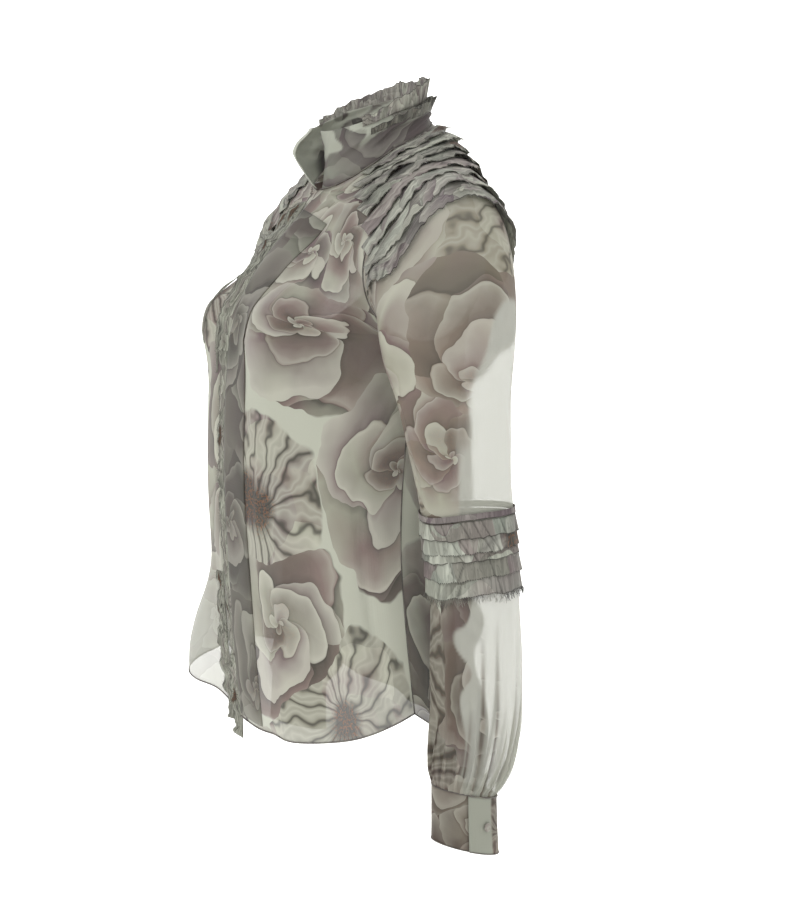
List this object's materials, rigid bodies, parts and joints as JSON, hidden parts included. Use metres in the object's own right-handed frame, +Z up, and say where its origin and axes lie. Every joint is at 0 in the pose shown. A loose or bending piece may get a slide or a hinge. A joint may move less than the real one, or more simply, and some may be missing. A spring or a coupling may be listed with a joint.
{
  "type": "blouse",
  "caption": "Sheer high-necked blouse, hollow as worn, with long sleeves gathered into deep cuffs and raw-edged strips laid over the shoulders, elbows, collar and one front edge.",
  "frame": {"origin": "midway between the neck ends of the two shoulder seams, where the wearer's shoulders hold the blouse up", "axes": "+Z up along the body, -Y towards the front, +X towards the wearer's left"},
  "size_m": [0.5142, 0.27, 0.7874],
  "materials": {
    "panel_cloth": "soft matte sheer weave",
    "sleeve_cloth": "soft matte sheer weave",
    "band_cloth": "soft matte doubled weave",
    "strip_cloth": "soft matte raw-edged weave",
    "collar_cloth": "soft matte doubled weave",
    "button_cloth": "soft matte covered button"
  },
  "bodies": {
    "root": {"front_left": "panel_cloth", "front_right": "panel_cloth", "back": "panel_cloth", "placket": "band_cloth", "front_frill_1": "strip_cloth", "front_frill_2": "strip_cloth", "front_frill_3": "strip_cloth", "front_frill_4": "strip_cloth", "button_1": "button_cloth", "button_2": "button_cloth", "button_3": "button_cloth", "button_4": "button_cloth", "button_5": "button_cloth", "button_6": "button_cloth", "button_7": "button_cloth", "collar": "collar_cloth", "collar_frill_top": "strip_cloth", "collar_frill_under": "strip_cloth", "sleeve_upper_left": "sleeve_cloth", "sleeve_lower_left": "sleeve_cloth", "cuff_left": "band_cloth", "cuff_button_left": "button_cloth", "elbow_band_left": "strip_cloth", "elbow_tier_1_left": "strip_cloth", "elbow_tier_2_left": "strip_cloth", "elbow_tier_3_left": "strip_cloth", "elbow_tier_4_left": "strip_cloth", "elbow_tier_5_left": "strip_cloth", "shoulder_tier_1_left": "strip_cloth", "shoulder_tier_2_left": "strip_cloth", "shoulder_tier_3_left": "strip_cloth", "shoulder_tier_4_left": "strip_cloth", "shoulder_tier_5_left": "strip_cloth", "shoulder_tier_6_left": "strip_cloth", "shoulder_tier_7_left": "strip_cloth", "shoulder_tier_8_left": "strip_cloth", "sleeve_upper_right": "sleeve_cloth", "sleeve_lower_right": "sleeve_cloth", "cuff_right": "band_cloth", "cuff_button_right": "button_cloth", "elbow_band_right": "strip_cloth", "elbow_tier_1_right": "strip_cloth", "elbow_tier_2_right": "strip_cloth", "elbow_tier_3_right": "strip_cloth", "elbow_tier_4_right": "strip_cloth", "elbow_tier_5_right": "strip_cloth", "shoulder_tier_1_right": "strip_cloth", "shoulder_tier_2_right": "strip_cloth", "shoulder_tier_3_right": "strip_cloth", "shoulder_tier_4_right": "strip_cloth", "shoulder_tier_5_right": "strip_cloth", "shoulder_tier_6_right": "strip_cloth", "shoulder_tier_7_right": "strip_cloth", "shoulder_tier_8_right": "strip_cloth"}
  },
  "joints": []
}
